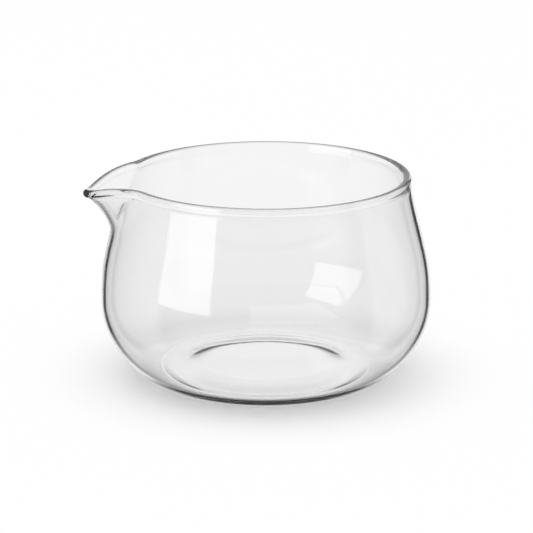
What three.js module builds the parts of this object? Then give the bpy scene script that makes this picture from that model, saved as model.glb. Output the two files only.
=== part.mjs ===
// A spouted bowl of clear blown glass, for whisking and pouring. Millimetres, +Z up.
// The bowl stands on z = 0 with its spout along -X, and the origin is the middle of its footprint.
// The wall is a revolved profile whose lip is then pulled out into a spout.
import * as THREE from 'three';

// Driving dimensions of the outside
const bellyRadius = 60;
const bellyHeight = 28.5;
const footRadius = 38.6;
const wallTopRadius = 51.9;
const rimHeight = 74.6;
const wallLean = THREE.MathUtils.degToRad(9.5);

// How far each profile curve runs on before it turns
const heelRun = 8;
const bellyRunBelow = 16.1;
const bellyRunAbove = 17.8;
const wallTopRun = 22.4;

// Driving dimensions of the glass
const wallThickness = 1.7;
const beadRadius = 1.55;
const beadProud = 0.45;
const beadFillet = 8;

// The base: a foot ring, a push-up with a flat middle, and a floor that thickens over the ring
const footRingWidth = 1.8;
const pushUpHeight = 1.5;
const pushUpFlatRadius = 22;
const floorRise = 2.4;
const floorFlatRadius = 26;
const floorEdgeRadius = 50;

// Driving dimensions of the spout, which is measured along, below and out from the rim
const spoutHalfWidth = 24;
const spoutDepth = 18;
const spoutPull = 12.8;
const spoutDrop = 5.6;
const spoutTipRounding = 1.5;
const spoutHollow = 1.08;
const spoutBlend = 0.08;

// Facets around the bowl, which crowd towards the spout, and along its section
const stationsAround = 80;
const spoutCrowding = 0.75;
const wallRows = 17;
const filletRows = 2;
const beadRows = 7;
const baseRows = 5;

// Outside profile as radius and height, from the foot ring up to the level of the bead's centre
const wallTopHeight = rimHeight - beadRadius;
const profile = new THREE.CurvePath();
profile.add(new THREE.CubicBezierCurve(
  new THREE.Vector2(footRadius, 0),
  new THREE.Vector2(footRadius + heelRun, 0),
  new THREE.Vector2(bellyRadius, bellyHeight - bellyRunBelow),
  new THREE.Vector2(bellyRadius, bellyHeight),
));
profile.add(new THREE.CubicBezierCurve(
  new THREE.Vector2(bellyRadius, bellyHeight),
  new THREE.Vector2(bellyRadius, bellyHeight + bellyRunAbove),
  new THREE.Vector2(
    wallTopRadius + wallTopRun * Math.sin(wallLean),
    wallTopHeight - wallTopRun * Math.cos(wallLean),
  ),
  new THREE.Vector2(wallTopRadius, wallTopHeight),
));
const profileLength = profile.getLength();

// Share of the full pull at a turn from the spout and a depth below the wall's top.
// It falls away like the flank of a hollow cone, rounded at the tip and blended into the wall.
const spoutReachDown = spoutDepth + spoutTipRounding;
const spoutHalfAngle = spoutHalfWidth / wallTopRadius;

function coneShare(across, down) {
  const left = 1 - Math.hypot(across, down);
  const blended = (left + Math.hypot(left, spoutBlend)) / 2;
  return blended ** spoutHollow;
}

const tipShare = coneShare(0, spoutTipRounding / spoutReachDown);

function pullShare(turn, depth) {
  return coneShare(turn / spoutHalfAngle, (depth + spoutTipRounding) / spoutReachDown) / tipShare;
}

// Point of the outside wall, a length along the profile from the foot ring
function wallPoint(turn, along) {
  const { x: radius, y: height } = profile.getPoint(THREE.MathUtils.clamp(along / profileLength, 0, 1));
  const share = pullShare(turn, wallTopHeight - height);
  const reach = radius + spoutPull * share;
  return new THREE.Vector3(
    -reach * Math.cos(turn),
    -reach * Math.sin(turn),
    height - spoutDrop * share ** 2,
  );
}

// Point of the glass, moved out along the wall's normal. Past the wall's top it goes straight on.
const probe = 0.02;

function glassPoint(turn, along, out) {
  const at = Math.min(along, profileLength);
  const below = Math.max(at - probe, 0);
  const above = Math.min(at + probe, profileLength);
  const sideStep = probe / bellyRadius;
  const up = wallPoint(turn, above).sub(wallPoint(turn, below)).normalize();
  const round = wallPoint(turn + sideStep, at).sub(wallPoint(turn - sideStep, at));
  const normal = round.cross(up).normalize();
  return wallPoint(turn, at).addScaledVector(normal, out).addScaledVector(up, along - at);
}

// Section of the rim: a fillet off the outside wall, the round bead and a fillet onto the inside wall.
// Each entry is a place along the profile and a distance out from the outside wall.
const beadCentreOut = beadProud - beadRadius;

function filletDrop(wallToCentre) {
  return Math.sqrt((beadFillet + beadRadius) ** 2 - (beadFillet + wallToCentre) ** 2);
}

const outerDrop = filletDrop(-beadCentreOut);
const innerDrop = filletDrop(beadCentreOut + wallThickness);
const outerContact = Math.atan2(-outerDrop, beadFillet - beadCentreOut);
const innerContact = Math.atan2(-innerDrop, -wallThickness - beadFillet - beadCentreOut) + 2 * Math.PI;

function arc(along, out, radius, from, to, rows) {
  return Array.from({ length: rows + 1 }, (_, i) => {
    const angle = THREE.MathUtils.lerp(from, to, i / rows);
    return { along: along + radius * Math.sin(angle), out: out + radius * Math.cos(angle) };
  });
}

function rimSection() {
  const outer = arc(
    profileLength - outerDrop, beadFillet, beadFillet, Math.PI, outerContact + Math.PI, filletRows,
  );
  const bead = arc(profileLength, beadCentreOut, beadRadius, outerContact, innerContact, beadRows);
  const inner = arc(
    profileLength - innerDrop, -wallThickness - beadFillet, beadFillet,
    innerContact - Math.PI, 0, filletRows,
  );
  return [...outer, ...bead.slice(1, -1), ...inner];
}

// Share of a rise at a radius: whole out to the flat radius, then easing off to none at the edge
function swell(radius, flat, edge) {
  const share = THREE.MathUtils.clamp((radius - flat) / (edge - flat), 0, 1);
  return (1 + Math.cos(Math.PI * share)) / 2;
}

// Thickness of the glass over the table and up the heel, until it is the plain wall's
function glassThickness(radius) {
  return wallThickness + floorRise * swell(radius, floorFlatRadius, floorEdgeRadius);
}

const pushUpRadius = footRadius - footRingWidth;

function undersideHeight(radius) {
  return pushUpHeight * swell(radius, pushUpFlatRadius, pushUpRadius);
}

// Sections of the two wall faces, from the foot ring up to where the rim's fillets start
function wallSection(top, depthAt) {
  return Array.from({ length: wallRows }, (_, i) => {
    const along = top * i / wallRows;
    return { along, out: -depthAt(profile.getPoint(along / profileLength).x) };
  });
}

// Rings of the whole section, from the middle of the underside over the rim to the middle of the floor
const baseRadii = Array.from(
  { length: baseRows + 1 },
  (_, i) => THREE.MathUtils.lerp(pushUpFlatRadius, pushUpRadius, i / baseRows),
);
const glassSection = [
  ...wallSection(profileLength - outerDrop, () => 0),
  ...rimSection(),
  ...wallSection(profileLength - innerDrop, glassThickness).reverse(),
];

function baseRing(radius, height) {
  return (turn) => new THREE.Vector3(-radius * Math.cos(turn), -radius * Math.sin(turn), height);
}

const rings = [
  ...baseRadii.map((radius) => baseRing(radius, undersideHeight(radius))),
  ...glassSection.map(({ along, out }) => (turn) => glassPoint(turn, along, out)),
  ...baseRadii.map((radius) => baseRing(radius, glassThickness(radius))).reverse(),
];

// Closed skin through the rings, with a fan at each end
function skin() {
  const positions = [0, 0, undersideHeight(0)];
  for (const ring of rings) {
    for (let i = 0; i < stationsAround; i += 1) {
      const even = 2 * Math.PI * i / stationsAround - Math.PI;
      positions.push(...ring(even - spoutCrowding * Math.sin(even)).toArray());
    }
  }
  positions.push(0, 0, glassThickness(0));

  const index = [];
  const last = positions.length / 3 - 1;
  const vertex = (row, i) => 1 + row * stationsAround + i % stationsAround;
  for (let i = 0; i < stationsAround; i += 1) {
    index.push(0, vertex(0, i + 1), vertex(0, i));
    for (let row = 0; row + 1 < rings.length; row += 1) {
      index.push(vertex(row, i), vertex(row, i + 1), vertex(row + 1, i + 1));
      index.push(vertex(row, i), vertex(row + 1, i + 1), vertex(row + 1, i));
    }
    index.push(last, vertex(rings.length - 1, i), vertex(rings.length - 1, i + 1));
  }

  const geometry = new THREE.BufferGeometry();
  geometry.setAttribute('position', new THREE.Float32BufferAttribute(positions, 3));
  geometry.setIndex(index);
  geometry.computeVertexNormals();
  return geometry;
}

const clearGlass = new THREE.MeshStandardMaterial({
  color: 0xf1f5f4,
  roughness: 0.02,
  metalness: 0,
  transparent: true,
  opacity: 0.3,
});

const bowl = new THREE.Mesh(skin(), clearGlass);
bowl.name = 'glass_bowl';

// The spout overhangs on one side only, so the bowl moves over to centre its footprint on the origin
bowl.geometry.computeBoundingBox();
bowl.position.x = -(bowl.geometry.boundingBox.min.x + bowl.geometry.boundingBox.max.x) / 2;

const part = new THREE.Group();
part.add(bowl);

export default part;
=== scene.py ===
# %% [markdown]
# A spouted bowl of clear blown glass. The imported model gives the frame: where the bowl stands, how
# wide it is and which way its spout points. Everything below is in that same frame, so the fine glass
# made here lands exactly on the plain solid that it stands for.

# %% Load the frame
import math

import bpy
import numpy as np
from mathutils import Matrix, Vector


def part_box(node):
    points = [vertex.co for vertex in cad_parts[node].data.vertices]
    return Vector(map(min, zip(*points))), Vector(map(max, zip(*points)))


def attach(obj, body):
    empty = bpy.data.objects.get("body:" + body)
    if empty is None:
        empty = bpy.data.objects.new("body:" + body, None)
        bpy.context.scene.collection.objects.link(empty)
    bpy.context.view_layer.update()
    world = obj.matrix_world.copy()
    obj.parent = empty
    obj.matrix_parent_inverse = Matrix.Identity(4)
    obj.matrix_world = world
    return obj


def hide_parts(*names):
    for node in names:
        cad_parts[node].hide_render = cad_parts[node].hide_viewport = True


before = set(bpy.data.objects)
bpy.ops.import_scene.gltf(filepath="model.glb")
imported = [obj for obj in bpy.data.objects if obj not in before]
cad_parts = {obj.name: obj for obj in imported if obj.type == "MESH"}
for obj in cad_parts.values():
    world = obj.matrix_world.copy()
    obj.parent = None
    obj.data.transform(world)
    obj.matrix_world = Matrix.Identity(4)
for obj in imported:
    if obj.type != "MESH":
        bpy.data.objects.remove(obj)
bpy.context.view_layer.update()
MM = 0.001

# %% [markdown]
# The outside of the bowl is a profile turned about an upright axis: a soft heel that runs out from
# the foot ring, a full belly, and a wall that leans in towards the rim. It could be drawn as a spline
# and spun with a Screw modifier, but the spout has to be pulled out of the wall afterwards, so the
# profile is written as two Bezier curves that can be evaluated anywhere. One number runs along it,
# from 0 at the foot ring through 1 at the belly to 2 at the rim. Lengths are in millimetres until the
# mesh is made.

# %% The outside profile
BELLY_RADIUS = 60.0
BELLY_HEIGHT = 28.5
FOOT_RADIUS = 38.6
WALL_TOP_RADIUS = 51.9
RIM_HEIGHT = 74.6
BEAD_RADIUS = 1.55
WALL_LEAN = math.radians(9.5)
HEEL_RUN = 8.0
BELLY_RUN_BELOW = 16.1
BELLY_RUN_ABOVE = 17.8
WALL_TOP_RUN = 22.4
WALL_TOP_HEIGHT = RIM_HEIGHT - BEAD_RADIUS
AT_FOOT = 0.0
AT_BELLY = 1.0
AT_RIM = 2.0

LOWER_CURVE = np.array([
    (FOOT_RADIUS, 0.0),
    (FOOT_RADIUS + HEEL_RUN, 0.0),
    (BELLY_RADIUS, BELLY_HEIGHT - BELLY_RUN_BELOW),
    (BELLY_RADIUS, BELLY_HEIGHT),
])
UPPER_CURVE = np.array([
    (BELLY_RADIUS, BELLY_HEIGHT),
    (BELLY_RADIUS, BELLY_HEIGHT + BELLY_RUN_ABOVE),
    (WALL_TOP_RADIUS + WALL_TOP_RUN * math.sin(WALL_LEAN),
     WALL_TOP_HEIGHT - WALL_TOP_RUN * math.cos(WALL_LEAN)),
    (WALL_TOP_RADIUS, WALL_TOP_HEIGHT),
])


def bezier(points, t):
    weights = np.stack([(1 - t) ** 3, 3 * t * (1 - t) ** 2, 3 * t * t * (1 - t), t ** 3], axis=-1)
    return weights @ points


def outside_profile(along):
    lower = bezier(LOWER_CURVE, np.minimum(along, AT_BELLY))
    upper = bezier(UPPER_CURVE, np.maximum(along, AT_BELLY) - AT_BELLY)
    return np.where((along < AT_BELLY)[..., None], lower, upper)


print("wall top in mm, radius and height:", outside_profile(np.array(AT_RIM)).round(2))

# %% [markdown]
# The spout is a place where the soft rim was drawn out with a tool. The glass follows the tool most at
# the lip and less and less to the sides and below, like the flank of a hollow cone. A sculpted patch
# would do for one view; a formula keeps both faces of the wall in step and can be as fine as needed.
# The share of the pull is 1 at the tip of the lip and dies away smoothly into the round wall.

# %% The pulled spout
SPOUT_HALF_WIDTH = 24.0
SPOUT_DEPTH = 18.0
SPOUT_PULL = 12.8
SPOUT_DROP = 5.6
SPOUT_TIP_ROUNDING = 1.5
SPOUT_HOLLOW = 1.08
SPOUT_BLEND = 0.08
SPOUT_REACH_DOWN = SPOUT_DEPTH + SPOUT_TIP_ROUNDING
SPOUT_HALF_ANGLE = SPOUT_HALF_WIDTH / WALL_TOP_RADIUS


def cone_share(across, down):
    left = 1 - np.hypot(across, down)
    return ((left + np.hypot(left, SPOUT_BLEND)) / 2) ** SPOUT_HOLLOW


TIP_SHARE = cone_share(0.0, SPOUT_TIP_ROUNDING / SPOUT_REACH_DOWN)


def wall_point(turn, along):
    radius, height = np.moveaxis(outside_profile(along), -1, 0)
    down = (WALL_TOP_HEIGHT - height + SPOUT_TIP_ROUNDING) / SPOUT_REACH_DOWN
    share = cone_share(turn / SPOUT_HALF_ANGLE, down) / TIP_SHARE
    reach = radius + SPOUT_PULL * share
    drooped = height - SPOUT_DROP * share ** 2
    return np.stack([-reach * np.cos(turn), -reach * np.sin(turn), drooped], axis=-1)


print("spout tip of the wall in mm:", wall_point(np.array(0.0), np.array(AT_RIM)).round(2))

# %% [markdown]
# Glass has two faces, and clear glass shows both. The inner face is set off from the outer one along
# the true normal of the pulled wall, so the wall keeps its thickness round the spout. A Solidify
# modifier does the same, but it can't carry on over the rim as a round bead, and that bead is what
# catches the light in a real bowl.

# %% Points in the thickness of the wall
PROBE_ALONG = 1e-4
PROBE_TURN = 1e-4


def unit(vectors):
    return vectors / np.linalg.norm(vectors, axis=-1, keepdims=True)


def glass_point(turn, along, out, beyond):
    above = np.minimum(along + PROBE_ALONG, AT_RIM)
    below = np.maximum(along - PROBE_ALONG, AT_FOOT)
    up = unit(wall_point(turn, above) - wall_point(turn, below))
    round_wall = wall_point(turn + PROBE_TURN, along) - wall_point(turn - PROBE_TURN, along)
    normal = unit(np.cross(round_wall, up))
    return wall_point(turn, along) + normal * out[..., None] + up * beyond[..., None]


belly_inside = glass_point(np.array(math.pi), np.array(AT_BELLY), np.array(-1.0), np.array(0.0))
print("a point 1 mm inside the belly:", belly_inside.round(2))

# %% [markdown]
# The rim was melted round in a flame, which leaves a bead a little thicker than the wall, with a long
# soft hollow under it on each side. Its section is three arcs: a fillet off the outside, most of a
# circle, and a fillet onto the inside. Each point is a height past the wall's top and a distance out
# from the outer face.

# %% The rim's section
WALL_THICKNESS = 1.7
BEAD_PROUD = 0.45
BEAD_FILLET = 8.0
FILLET_POINTS = 8
BEAD_POINTS = 36
BEAD_CENTRE_OUT = BEAD_PROUD - BEAD_RADIUS


def fillet_drop(wall_to_centre):
    return math.sqrt((BEAD_FILLET + BEAD_RADIUS) ** 2 - (BEAD_FILLET + wall_to_centre) ** 2)


def arc(past, out, radius, start, end, count):
    angles = np.linspace(start, end, count)
    return np.stack([past + radius * np.sin(angles), out + radius * np.cos(angles)], axis=-1)


OUTER_DROP = fillet_drop(-BEAD_CENTRE_OUT)
INNER_DROP = fillet_drop(BEAD_CENTRE_OUT + WALL_THICKNESS)
INNER_FILLET_OUT = -WALL_THICKNESS - BEAD_FILLET
outer_contact = math.atan2(-OUTER_DROP, BEAD_FILLET - BEAD_CENTRE_OUT)
inner_contact = math.atan2(-INNER_DROP, INNER_FILLET_OUT - BEAD_CENTRE_OUT) + 2 * math.pi
rim_section = np.concatenate([
    arc(-OUTER_DROP, BEAD_FILLET, BEAD_FILLET, math.pi, outer_contact + math.pi, FILLET_POINTS)[:-1],
    arc(0.0, BEAD_CENTRE_OUT, BEAD_RADIUS, outer_contact, inner_contact, BEAD_POINTS),
    arc(-INNER_DROP, INNER_FILLET_OUT, BEAD_FILLET, inner_contact - math.pi, 0.0, FILLET_POINTS)[1:],
])
print("rim section points:", len(rim_section))

# %% [markdown]
# The bowl stands on a narrow foot ring. Inside the ring the base is pushed up, so that it can't rock,
# and over it the floor is thicker than the wall, as glass gathers there while the bowl is blown. Both
# rises have a flat middle and ease off along a cosine, so that no crease shows in the clear glass.

# %% The base
FOOT_RING_WIDTH = 1.8
PUSH_UP_HEIGHT = 1.5
PUSH_UP_FLAT = 22.0
PUSH_UP_RADIUS = FOOT_RADIUS - FOOT_RING_WIDTH
FLOOR_RISE = 2.4
FLOOR_FLAT = 26.0
FLOOR_EDGE = 50.0


def swell(radius, flat, edge):
    share = np.clip((radius - flat) / (edge - flat), 0.0, 1.0)
    return (1 + np.cos(np.pi * share)) / 2


def underside_height(radius):
    return PUSH_UP_HEIGHT * swell(radius, PUSH_UP_FLAT, PUSH_UP_RADIUS)


def glass_thickness(radius):
    return WALL_THICKNESS + FLOOR_RISE * swell(radius, FLOOR_FLAT, FLOOR_EDGE)


print("glass in the middle of the base in mm:", round(glass_thickness(0.0) - underside_height(0.0), 2))

# %% [markdown]
# Now the whole skin: rings from the middle of the underside, up the outside, over the bead, down the
# inside and back to the middle of the floor. The stations round the bowl crowd towards the spout,
# where the form bends most.

# %% The rings of the skin
STATIONS_AROUND = 256
SPOUT_CROWDING = 0.6
WALL_RINGS = 84
BASE_RINGS = 40
CURVE_DEGREE = 3
WALL_TOP_SPEED = CURVE_DEGREE * WALL_TOP_RUN  # mm of wall for each unit along the profile, at its top

even = np.linspace(-math.pi, math.pi, STATIONS_AROUND, endpoint=False)
turns = even - SPOUT_CROWDING * np.sin(even)


def base_rings(radii, heights):
    circle = np.stack([-np.cos(turns), -np.sin(turns)], axis=-1)
    flat = radii[:, None, None] * circle
    level = np.broadcast_to(heights[:, None, None], flat[..., :1].shape)
    return np.concatenate([flat, level], axis=-1)


def glass_rings(along, out, beyond):
    shape = (len(along), STATIONS_AROUND)
    grids = [np.broadcast_to(values[:, None], shape) for values in (along, out, beyond)]
    return glass_point(np.broadcast_to(turns, shape), *grids)


def wall_along(drop):
    return np.linspace(AT_FOOT, AT_RIM - drop / WALL_TOP_SPEED, WALL_RINGS, endpoint=False)


def outer_wall():
    flush = np.zeros(WALL_RINGS)
    return glass_rings(wall_along(OUTER_DROP), flush, flush)


def inner_wall():
    along = wall_along(INNER_DROP)
    depth = glass_thickness(outside_profile(along)[:, 0])
    return glass_rings(along, -depth, np.zeros(WALL_RINGS))


def rim():
    past, out = rim_section.T
    along = AT_RIM + np.minimum(past, 0.0) / WALL_TOP_SPEED
    return glass_rings(along, out, np.maximum(past, 0.0))


base_radii = np.linspace(0.0, FOOT_RADIUS, BASE_RINGS, endpoint=False)[1:]
rings = np.concatenate([
    base_rings(base_radii, underside_height(base_radii)),
    outer_wall(),
    rim(),
    inner_wall()[::-1],
    base_rings(base_radii, glass_thickness(base_radii))[::-1],
])
print("rings and stations:", rings.shape[:2])

# %% [markdown]
# The rings are joined into one closed mesh, four-sided all over but for a fan at each end. Faces run
# the same way round everywhere, because a renderer tells the inside of glass from the outside by the
# way its faces point. The finished piece rides on the bowl's body and stands for its plain solid.


# %% The mesh of the glass
def skin_faces(ring_count):
    def vertex(ring, i):
        return 1 + ring * STATIONS_AROUND + i % STATIONS_AROUND

    top = ring_count - 1
    last = 1 + ring_count * STATIONS_AROUND
    faces = []
    for i in range(STATIONS_AROUND):
        faces.append((0, vertex(0, i + 1), vertex(0, i)))
        for ring in range(top):
            low = (vertex(ring, i), vertex(ring, i + 1))
            high = (vertex(ring + 1, i + 1), vertex(ring + 1, i))
            faces.append(low + high)
        faces.append((last, vertex(top, i), vertex(top, i + 1)))
    return faces


AXIS_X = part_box("glass_bowl")[1][0] - BELLY_RADIUS * MM
underside_middle = [[0.0, 0.0, underside_height(0.0)]]
floor_middle = [[0.0, 0.0, glass_thickness(0.0)]]
points = np.concatenate([underside_middle, rings.reshape(-1, 3), floor_middle])

skin = bpy.data.meshes.new("blown_glass_bowl")
skin.from_pydata((points * MM + (AXIS_X, 0.0, 0.0)).tolist(), [], skin_faces(len(rings)))
skin.validate()
skin.shade_smooth()
bowl = bpy.data.objects.new("blown_glass_bowl", skin)
bpy.context.scene.collection.objects.link(bowl)
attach(bowl, "root")
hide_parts("glass_bowl")
print("glass faces:", len(skin.polygons), "axis at x in mm:", round(AXIS_X / MM, 2))

# %% [markdown]
# The glass, the table and the room each get a small tree of nodes. Wiring nodes by hand takes many
# lines, so one helper adds a node, sets it up and fills its inputs: an input gets a link if it is given
# another node's output, and a plain value if not. The others do sums and mix colours with it.


# %% Helpers for nodes
def add_node(tree, kind, inputs, **settings):
    node = tree.nodes.new("ShaderNode" + kind)
    for name, value in settings.items():
        setattr(node, name, value)
    for socket, value in inputs.items():
        if isinstance(value, bpy.types.NodeSocket):
            tree.links.new(value, node.inputs[socket])
        else:
            node.inputs[socket].default_value = value
    return node


def calculate(tree, operation, *values):
    return add_node(tree, "Math", dict(enumerate(values)), operation=operation).outputs["Value"]


def mixed(tree, share, first, second):
    inputs = {"Factor": share, "A": first, "B": second}
    return add_node(tree, "Mix", inputs, data_type="RGBA").outputs["Result"]


def grey(level):
    return (level, level, level, 1.0)


print("a mid grey:", grey(0.5))

# %% [markdown]
# The glass is clear and colourless: it bends and mirrors light, and keeps very little of it. A
# Principled shader with full transmission does that. Blown glass is never quite even, so a slow noise
# bends its normals by a hair. Edges seen through it, and the reflections on it, waver a little.

# %% Clear blown glass
GLASS_IOR = 1.47
GLASS_GREY = 0.96
RIPPLE_SCALE = 45.0
RIPPLE_DETAIL = 1.0
RIPPLE_STRENGTH = 0.12
RIPPLE_DISTANCE = 0.0004


def clear_glass(name):
    material = bpy.data.materials.new(name)
    material.use_nodes = True
    tree = material.node_tree
    place = add_node(tree, "TexCoord", {}).outputs["Object"]
    ripple = add_node(tree, "TexNoise", {
        "Vector": place,
        "Scale": RIPPLE_SCALE,
        "Detail": RIPPLE_DETAIL,
    }).outputs["Fac"]
    bump = add_node(tree, "Bump", {
        "Height": ripple,
        "Strength": RIPPLE_STRENGTH,
        "Distance": RIPPLE_DISTANCE,
    }).outputs["Normal"]
    glass = tree.nodes["Principled BSDF"]
    glass.inputs["Base Color"].default_value = grey(GLASS_GREY)
    glass.inputs["Transmission Weight"].default_value = 1.0
    glass.inputs["IOR"].default_value = GLASS_IOR
    glass.inputs["Roughness"].default_value = 0.0
    tree.links.new(bump, glass.inputs["Normal"])
    return material


skin.materials.append(clear_glass("clear_glass"))
print("glass lets through:", GLASS_GREY)

# %% [markdown]
# Light that meets the top of the bead at a shallow angle runs down into the wall and is lost there, so
# a real rim has a thin dark line along its crest. Here the light would have to be followed a long way
# for that. The crest gets the same glass instead, with a Layer Weight that greys it at shallow angles:
# a painted shade that stands in for the dark line.

# %% The crest of the rim
CREST_PAST = 1.05  # mm past the wall's top
CREST_SHADE_GREY = 0.12
CREST_START = 0.15
CREST_FULL = 0.6


def crest_shade_glass():
    material = clear_glass("crest_shade_glass")
    tree = material.node_tree
    facing = add_node(tree, "LayerWeight", {}).outputs["Facing"]
    shallow = add_node(tree, "MapRange", {"Value": facing, "From Min": CREST_START, "From Max": CREST_FULL})
    # painted shade: the crest's glass turns grey at shallow angles, in place of the light lost in the bead
    tint = mixed(tree, shallow.outputs["Result"], grey(GLASS_GREY), grey(CREST_SHADE_GREY))
    tree.links.new(tint, tree.nodes["Principled BSDF"].inputs["Base Color"])
    return material


# At each station the faces run ring by ring, with one fan face before them and one after
rings_below_rim = len(base_radii) + WALL_RINGS
crest_rings = rings_below_rim + np.flatnonzero(rim_section[:, 0] > CREST_PAST)
face_ring = np.arange(len(skin.polygons)) % (len(rings) + 1) - 1
on_crest = np.isin(face_ring, crest_rings[:-1])
skin.materials.append(crest_shade_glass())
skin.polygons.foreach_set("material_index", on_crest.astype(np.int32))
print("faces on the crest:", int(on_crest.sum()))

# %% [markdown]
# A glass bowl on white is drawn by what its walls mirror. A photographer stands it on white paper,
# which shows straight through it, and keeps the rest of the room dim, so that the rim and the edges
# come out dark. Light Path tells what a ray has been through. Looked at straight or through the glass,
# the paper goes over from plain lit paper, which keeps the bowl's shadow, to a pure white backdrop.
# Mirrored rays see only a share of it, close to the bowl, and the room beyond. Light that a bowl
# gathers on the paper under it is a caustic, which is slow to trace, so there the paper is white too,
# but only through the glass.

# %% The white table
TABLE_SIDE = 6.0
TABLE_WHITE = 0.97
BACKDROP_WHITE = 1.0
BACKDROP_NEAR = 0.04
BACKDROP_FAR = 0.09
SHARE_NEAR = 0.1
SHARE_FAR = 0.93
GATHERED_RADIUS = 0.085
GATHERED_SOFTNESS = 0.045
MIRRORED_SHARE = 0.4
MIRRORED_RADIUS = 0.085
MIRRORED_SOFTNESS = 0.03
HALF_A_BOUNCE = 0.5  # tells no bounce from one or more


def looked_at(tree, ray):
    return calculate(tree, "MAXIMUM", ray["Is Camera Ray"], ray["Is Transmission Ray"])


def in_a_mirror(tree, ray):
    mirrored = calculate(tree, "GREATER_THAN", ray["Glossy Depth"], HALF_A_BOUNCE)
    scattered = calculate(tree, "GREATER_THAN", ray["Diffuse Depth"], HALF_A_BOUNCE)
    return calculate(tree, "SUBTRACT", mirrored, calculate(tree, "MULTIPLY", mirrored, scattered))


def fading(tree, distance, start, end, first, last):
    return add_node(tree, "MapRange", {
        "Value": distance,
        "From Min": start,
        "From Max": end,
        "To Min": first,
        "To Max": last,
    }, interpolation_type="SMOOTHSTEP").outputs["Result"]


def white_table():
    material = bpy.data.materials.new("white_table")
    material.use_nodes = True
    tree = material.node_tree
    tree.nodes.clear()
    ray = add_node(tree, "LightPath", {}).outputs
    place = add_node(tree, "TexCoord", {}).outputs["Object"]
    to_axis = add_node(tree, "VectorMath", {0: place, 1: (AXIS_X, 0.0, 0.0)}, operation="DISTANCE")
    distance = to_axis.outputs["Value"]

    paper = add_node(tree, "BsdfDiffuse", {"Color": grey(TABLE_WHITE)}).outputs["BSDF"]
    white = add_node(tree, "Emission", {"Strength": BACKDROP_WHITE}).outputs["Emission"]
    backdrop = fading(tree, distance, BACKDROP_NEAR, BACKDROP_FAR, SHARE_NEAR, SHARE_FAR)
    under_bowl = fading(tree, distance, GATHERED_RADIUS, GATHERED_RADIUS - GATHERED_SOFTNESS, 0.0, 1.0)
    gathered = calculate(tree, "MULTIPLY", ray["Is Transmission Ray"], under_bowl)
    brightest = calculate(tree, "MAXIMUM", backdrop, gathered)
    share = calculate(tree, "MULTIPLY", looked_at(tree, ray), brightest)
    lit = add_node(tree, "MixShader", {"Fac": share, 1: paper, 2: white}).outputs["Shader"]

    nothing = add_node(tree, "BsdfTransparent", {}).outputs["BSDF"]
    near = fading(tree, distance, MIRRORED_RADIUS, MIRRORED_RADIUS - MIRRORED_SOFTNESS, 0.0, MIRRORED_SHARE)
    hidden = calculate(tree, "MULTIPLY", in_a_mirror(tree, ray), calculate(tree, "SUBTRACT", 1.0, near))
    seen = add_node(tree, "MixShader", {"Fac": hidden, 1: lit, 2: nothing}).outputs["Shader"]
    add_node(tree, "OutputMaterial", {"Surface": seen})
    return material


half = TABLE_SIDE / 2
corners = [(-half, -half, 0.0), (half, -half, 0.0), (half, half, 0.0), (-half, half, 0.0)]
paper_sheet = bpy.data.meshes.new("table_top")
paper_sheet.from_pydata(corners, [], [(0, 1, 2, 3)])
paper_sheet.materials.append(white_table())
table = bpy.data.objects.new("table_top", paper_sheet)
bpy.context.scene.collection.objects.link(table)
print("table side in m:", TABLE_SIDE)

# %% [markdown]
# The room is white for the camera and for everything seen through the glass, and a little dimmer where
# it lights the paper, as the softbox overhead adds to it. Mirrored rays meet the set that a glass
# photographer builds: a white panel behind the bowl, a dim gap beside it, a grey card further round on
# each side, and a mid grey wall behind the camera. Above and below there is only dim room. The panel
# and the cards give the thick edges their light cores between dark lines. Lamps could play the cards,
# but a lamp adds its light to the white room behind it, and the world can hold a real dark.

# %% The room round the set
CAMERA_AZIMUTH = math.radians(-5.0)
HALF_TURN = 180.0
ROOM_GREY = 0.05
ROOM_LIGHT = 0.87
PANEL_WHITE = 0.95
PANEL_EDGE = 19.0
CARD_GREY = 0.42
CARD_START = 32.0
CARD_END = 100.0
FRONT_GREY = 0.32
FRONT_START = 124.0
SET_BOTTOM = -32.0
SET_TOP = 28.0
EDGE_SOFTNESS = 3.0
FRONT_SOFTNESS = 12.0
LEVEL_SOFTNESS = 8.0


def between(tree, angle, low, high, softness):
    rising = add_node(tree, "MapRange", {"Value": angle, "From Min": low - softness, "From Max": low})
    falling = add_node(tree, "MapRange", {"Value": angle, "From Min": high + softness, "From Max": high})
    return calculate(tree, "MULTIPLY", rising.outputs["Result"], falling.outputs["Result"])


def set_round_the_bowl(tree, direction):
    azimuth = calculate(tree, "ARCTAN2", direction["X"], direction["Y"])
    turned = calculate(tree, "ABSOLUTE", calculate(tree, "ADD", azimuth, CAMERA_AZIMUTH))
    aside = calculate(tree, "DEGREES", turned)
    panel = between(tree, aside, 0.0, PANEL_EDGE, EDGE_SOFTNESS)
    sides = between(tree, aside, CARD_START, CARD_END, EDGE_SOFTNESS)
    front = between(tree, aside, FRONT_START, HALF_TURN, FRONT_SOFTNESS)
    lit = calculate(tree, "MULTIPLY", panel, PANEL_WHITE)
    lit = calculate(tree, "MULTIPLY_ADD", sides, CARD_GREY, lit)
    lit = calculate(tree, "MULTIPLY_ADD", front, FRONT_GREY, lit)
    height = calculate(tree, "DEGREES", calculate(tree, "ARCSINE", direction["Z"]))
    level = between(tree, height, SET_BOTTOM, SET_TOP, LEVEL_SOFTNESS)
    return calculate(tree, "MULTIPLY_ADD", lit, level, ROOM_GREY)


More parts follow.
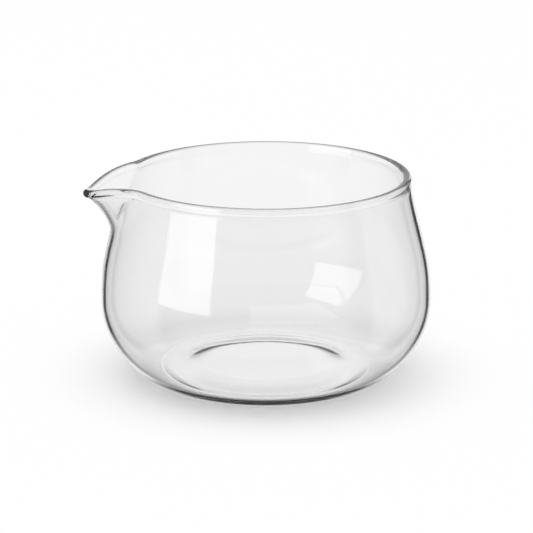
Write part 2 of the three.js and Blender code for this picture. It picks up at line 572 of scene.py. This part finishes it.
def studio_world():
    world = bpy.data.worlds.new("studio")
    world.use_nodes = True
    tree = world.node_tree
    ray = add_node(tree, "LightPath", {}).outputs
    look = add_node(tree, "TexCoord", {}).outputs["Generated"]
    direction = add_node(tree, "SeparateXYZ", {"Vector": look}).outputs
    room = set_round_the_bowl(tree, direction)
    plain = mixed(tree, looked_at(tree, ray), grey(ROOM_LIGHT), grey(BACKDROP_WHITE))
    shown = mixed(tree, in_a_mirror(tree, ray), plain, room)
    tree.links.new(shown, tree.nodes["Background"].inputs["Color"])
    return world


bpy.context.scene.world = studio_world()
print("room grey for mirrored rays:", ROOM_GREY)

# %% [markdown]
# Two softboxes complete the set. A tall one to the left of the camera is the bright window on the front
# of the bowl, and it comes back once more, small and upside down, from the hollow of the far wall. It
# lights nothing but the glass. A wide one overhead lights the paper, and its size keeps the shadow soft.

# %% The softboxes
LEFT_TURN = math.radians(-57.0)
LEFT_DISTANCE = 1.0
LEFT_BOTTOM = -0.05
LEFT_TOP = 1.1
LEFT_WIDTH = 0.72
LEFT_POWER = 5.2
TOP_HEIGHT = 1.2
TOP_SIDE = 1.0
TOP_OFFSET = -0.35
TOP_POWER = 2.35


def softbox(name, place, turned, size, power):
    lamp = bpy.data.lights.new(name, "AREA")
    lamp.shape = "RECTANGLE"
    lamp.size, lamp.size_y = size
    lamp.energy = power
    light = bpy.data.objects.new(name, lamp)
    light.location = place
    light.rotation_euler = turned
    light.visible_camera = False
    bpy.context.scene.collection.objects.link(light)
    return light


left_azimuth = CAMERA_AZIMUTH + LEFT_TURN
left_place = (
    AXIS_X + LEFT_DISTANCE * math.sin(left_azimuth),
    -LEFT_DISTANCE * math.cos(left_azimuth),
    (LEFT_TOP + LEFT_BOTTOM) / 2,
)
left_turned = (math.pi / 2, 0.0, left_azimuth)
left = softbox("left_softbox", left_place, left_turned, (LEFT_WIDTH, LEFT_TOP - LEFT_BOTTOM), LEFT_POWER)
left.visible_diffuse = False
top_place = (AXIS_X + TOP_OFFSET, 0.0, TOP_HEIGHT)
top = softbox("top_softbox", top_place, (0.0, 0.0, 0.0), (TOP_SIDE, TOP_SIDE), TOP_POWER)
print("softboxes at", [[round(v, 3) for v in lamp.location] for lamp in (left, top)])

# %% [markdown]
# The camera stands where the photograph was taken from: a long lens from a little above, with the spout
# turned slightly towards it.

# %% The camera
CAMERA_DISTANCE = 0.850
CAMERA_HEIGHT = 0.283
CAMERA_PITCH = 0.279
CAMERA_SIDE = 0.0002
LENS = 164.3
SENSOR_WIDTH = 36.0

view = bpy.data.cameras.new("photo_view")
view.lens = LENS
view.sensor_width = SENSOR_WIDTH
camera = bpy.data.objects.new("photo_view", view)
camera.location = (
    AXIS_X + CAMERA_DISTANCE * math.sin(CAMERA_AZIMUTH) + CAMERA_SIDE * math.cos(CAMERA_AZIMUTH),
    -CAMERA_DISTANCE * math.cos(CAMERA_AZIMUTH) + CAMERA_SIDE * math.sin(CAMERA_AZIMUTH),
    CAMERA_HEIGHT,
)
camera.rotation_euler = (math.pi / 2 - CAMERA_PITCH, 0.0, CAMERA_AZIMUTH)
bpy.context.scene.collection.objects.link(camera)
bpy.context.scene.camera = camera
bpy.context.scene.view_settings.view_transform = "Standard"
print("camera at", [round(v, 4) for v in camera.location])
